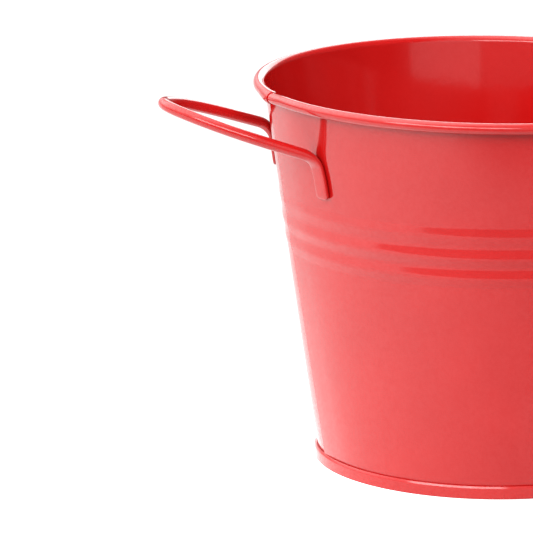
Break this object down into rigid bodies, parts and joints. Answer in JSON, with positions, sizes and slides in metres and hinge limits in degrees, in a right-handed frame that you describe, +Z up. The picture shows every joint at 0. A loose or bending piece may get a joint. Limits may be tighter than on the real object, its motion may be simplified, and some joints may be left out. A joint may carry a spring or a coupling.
{
  "type": "sand bucket",
  "caption": "Small tapered painted-metal bucket with a rolled rim, raised beads in the wall, a seamed recessed base and fixed wire side handles",
  "frame": {"origin": "On the floor, at the centre of the base seam's lower face, on the bucket's axis", "axes": "+Z up along the bucket's axis; the two handles lie on -X and +X, so X is the widest way; Y runs across, between the handles"},
  "size_m": [0.243, 0.17, 0.1371],
  "materials": {
    "wall_paint": "glossy red enamel with fine orange peel",
    "base_paint": "glossy red enamel, darker in the seam",
    "handle_paint": "glossy red enamel over steel wire"
  },
  "bodies": {
    "root": {"wall_sheet": "wall_paint", "base_pan": "base_paint", "left_handle": "handle_paint", "right_handle": "handle_paint"}
  },
  "joints": []
}
